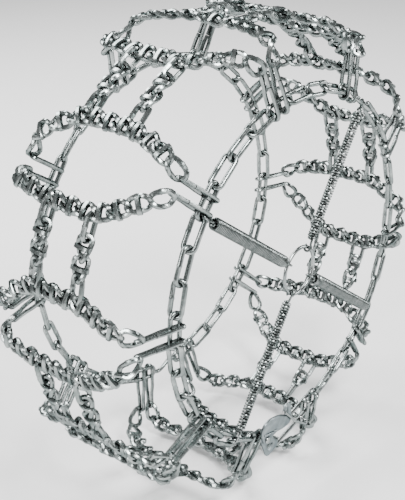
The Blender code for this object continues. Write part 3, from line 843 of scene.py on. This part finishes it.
class Finish:
    """A Principled material whose colour, roughness and relief vary over the metal."""

    def __init__(self, name):
        self.material = bpy.data.materials.new(name)
        self.material.use_nodes = True
        self.tree = self.material.node_tree
        self.shader = self.tree.nodes["Principled BSDF"]
        self.place = self.node("ShaderNodeTexCoord").outputs["Object"]

    def node(self, kind):
        return self.tree.nodes.new(kind)

    def link(self, source, target):
        self.tree.links.new(source, target)

    def noise(self, scale, detail, rough=0.55):
        noise = self.node("ShaderNodeTexNoise")
        noise.inputs["Scale"].default_value = scale
        noise.inputs["Detail"].default_value = detail
        noise.inputs["Roughness"].default_value = rough
        self.link(self.place, noise.inputs["Vector"])
        return noise.outputs["Fac"]

    def ramp(self, source, stops):
        ramp = self.node("ShaderNodeValToRGB")
        elements = ramp.color_ramp.elements
        while len(elements) < len(stops):
            elements.new(0.5)
        for element, (position, colour) in zip(elements, stops):
            element.position = position
            element.color = (*colour, 1.0)
        self.link(source, ramp.inputs["Fac"])
        return ramp.outputs["Color"]

    def span(self, source, low, high, out_low, out_high):
        span = self.node("ShaderNodeMapRange")
        for key, value in (("From Min", low), ("From Max", high), ("To Min", out_low),
                           ("To Max", out_high)):
            span.inputs[key].default_value = value
        self.link(source, span.inputs["Value"])
        return span.outputs["Result"]

    def darkened(self, colour, least):
        """Painted shade: the colour, turned down to its least share in the gaps between links."""
        gaps = self.node("ShaderNodeAmbientOcclusion")
        gaps.samples = 6
        gaps.inputs["Distance"].default_value = SHADE_REACH
        share = self.span(gaps.outputs["AO"], 0.25, 0.85, least, 1.0)
        mix = self.node("ShaderNodeVectorMath")
        mix.operation = 'SCALE'
        self.link(colour, mix.inputs[0])
        self.link(share, mix.inputs["Scale"])
        return mix.outputs["Vector"]

    def bump(self, source, strength, distance, under=None):
        bump = self.node("ShaderNodeBump")
        bump.inputs["Strength"].default_value = strength
        bump.inputs["Distance"].default_value = distance
        self.link(source, bump.inputs["Height"])
        if under:
            self.link(under, bump.inputs["Normal"])
        return bump.outputs["Normal"]


def zinc_finish(name, slot_colours, rough_low, rough_high, relief=0.35, gap_shade=0.30):
    """Zinc plate: faint blue-green clouding, an uneven polish, small pits, painted shade darkening
    the gaps and a painted dark reflection at the edges.
    """
    finish = Finish(name)
    finish.shader.inputs["Metallic"].default_value = 1.0
    # the Specular Tint darkens the grazing edges: a painted dark reflection
    finish.shader.inputs["Specular Tint"].default_value = (*EDGE_SHADE_TINT, 1.0)
    clouds = finish.noise(55.0, 3.0)
    # painted shade: the colour is darkened where the links shade each other
    colour = finish.darkened(finish.ramp(clouds, slot_colours), gap_shade)
    finish.link(colour, finish.shader.inputs["Base Color"])
    grain = finish.noise(420.0, 3.0, 0.6)
    rough = finish.span(grain, 0.32, 0.72, rough_low, rough_high)
    finish.link(rough, finish.shader.inputs["Roughness"])
    pits = finish.noise(900.0, 2.0, 0.5)
    low_relief = finish.bump(clouds, relief, 0.0006)
    finish.link(finish.bump(pits, relief, 0.00012, low_relief),
                finish.shader.inputs["Normal"])
    return finish.material


def make_materials():
    """The four looks, each with its colours at rising cloud values."""
    chain = zinc_finish("zinc_chain" + LOOK_SUFFIX, ((0.28, (0.16, 0.19, 0.185)),
                                              (0.52, (0.28, 0.31, 0.305)),
                                              (0.78, (0.42, 0.45, 0.44))), 0.18, 0.32)
    bright = zinc_finish("zinc_bright" + LOOK_SUFFIX, ((0.3, (0.24, 0.27, 0.27)),
                                                (0.7, (0.40, 0.42, 0.415))), 0.15, 0.28, 0.2)
    spring = zinc_finish("spring_steel" + LOOK_SUFFIX, ((0.3, (0.16, 0.185, 0.18)),
                                         (0.7, (0.30, 0.325, 0.32))), 0.20, 0.34, 0.2, 0.10)
    galvanised = zinc_finish("galvanised_plate" + LOOK_SUFFIX, ((0.3, (0.17, 0.20, 0.21)),
                                                    (0.55, (0.25, 0.285, 0.295)),
                                                    (0.8, (0.36, 0.395, 0.40))), 0.26, 0.42, 0.6)
    return chain, bright, spring, galvanised


# ---- room ----

def make_floor():
    """A plain pale floor just below the object."""
    material = bpy.data.materials.new("pale_floor")
    material.use_nodes = True
    shader = material.node_tree.nodes["Principled BSDF"]
    shader.inputs["Base Color"].default_value = (0.86, 0.86, 0.86, 1.0)
    shader.inputs["Roughness"].default_value = 0.85
    floor_z = cad_box[0][2] - FLOOR_GAP
    work = bmesh.new()
    verts = [work.verts.new((x * FLOOR_HALF, y * FLOOR_HALF, floor_z)) for x, y in
             ((-1, -1), (1, -1), (1, 1), (-1, 1))]
    work.faces.new(verts)
    mesh = bpy.data.meshes.new("floor")
    work.to_mesh(mesh)
    work.free()
    mesh.materials.append(material)
    floor = bpy.data.objects.new("floor", mesh)
    bpy.context.scene.collection.objects.link(floor)


def area_light(name, place, size, power):
    """A soft white rectangle of light, aimed at the wheel's centre."""
    lamp = bpy.data.lights.new(name, 'AREA')
    lamp.shape = 'RECTANGLE'
    lamp.size = size[0]
    lamp.size_y = size[1]
    lamp.energy = power
    thing = bpy.data.objects.new(name, lamp)
    thing.location = place
    thing.rotation_euler = (-Vector(place)).to_track_quat('-Z', 'Y').to_euler()
    bpy.context.scene.collection.objects.link(thing)


def make_lights():
    """A dim white room with a key light, two side strips and a broad light behind."""
    world = bpy.data.worlds.new("studio")
    bpy.context.scene.world = world
    world.use_nodes = True
    background = world.node_tree.nodes["Background"]
    background.inputs["Color"].default_value = (1.0, 1.0, 1.0, 1.0)
    background.inputs["Strength"].default_value = 0.3
    area_light("key", (-0.6, -2.4, 3.4), (1.3, 1.3), 260)
    area_light("side", (2.8, -1.6, 1.4), (0.4, 2.2), 70)
    area_light("left", (-3.0, 0.4, 1.6), (0.4, 2.2), 70)
    area_light("over", (0.2, 2.3, 2.3), (3.4, 1.2), 220)


def make_camera():
    """The viewing angle of a three-quarter view from the front left, a little above."""
    azimuth = math.radians(-51.583)
    elevation = math.radians(26.778)
    distance = 1764.2 * MM
    focal_share = 1020.04 / 500
    back = Vector((math.sin(azimuth) * math.cos(elevation),
                   -math.cos(azimuth) * math.cos(elevation), math.sin(elevation)))
    data = bpy.data.cameras.new("camera")
    data.sensor_width = 36.0
    data.lens = 36.0 * focal_share
    data.shift_x = -0.0565
    data.shift_y = -0.0082
    camera = bpy.data.objects.new("camera", data)
    target = Vector((0.0, -10 * MM, 0.0))
    camera.location = target + back * distance
    camera.rotation_euler = (-back).to_track_quat('-Z', 'Y').to_euler()
    bpy.context.scene.collection.objects.link(camera)
    bpy.context.scene.camera = camera


def main():
    make_camera()
    make_lights()
    make_floor()
    chain, bright, spring, galvanised = make_materials()
    make_side_chain("outer_side_chain", LAST_LINK_ANGLE, OUTER_LINKS, -SIDE_Y, chain)
    make_side_chain("inner_side_chain", LAST_LINK_ANGLE + INNER_SKEW, INNER_LINKS, SIDE_Y, chain)
    make_net(chain)
    make_ring(bright)
    for number, angle in enumerate(SPRING_ANGLES, 1):
        make_spring(number, angle, SPRING_PITCHES[number - 1], spring, bright)
    make_fastener(galvanised, bright)
    make_closing_hook(chain)


main()
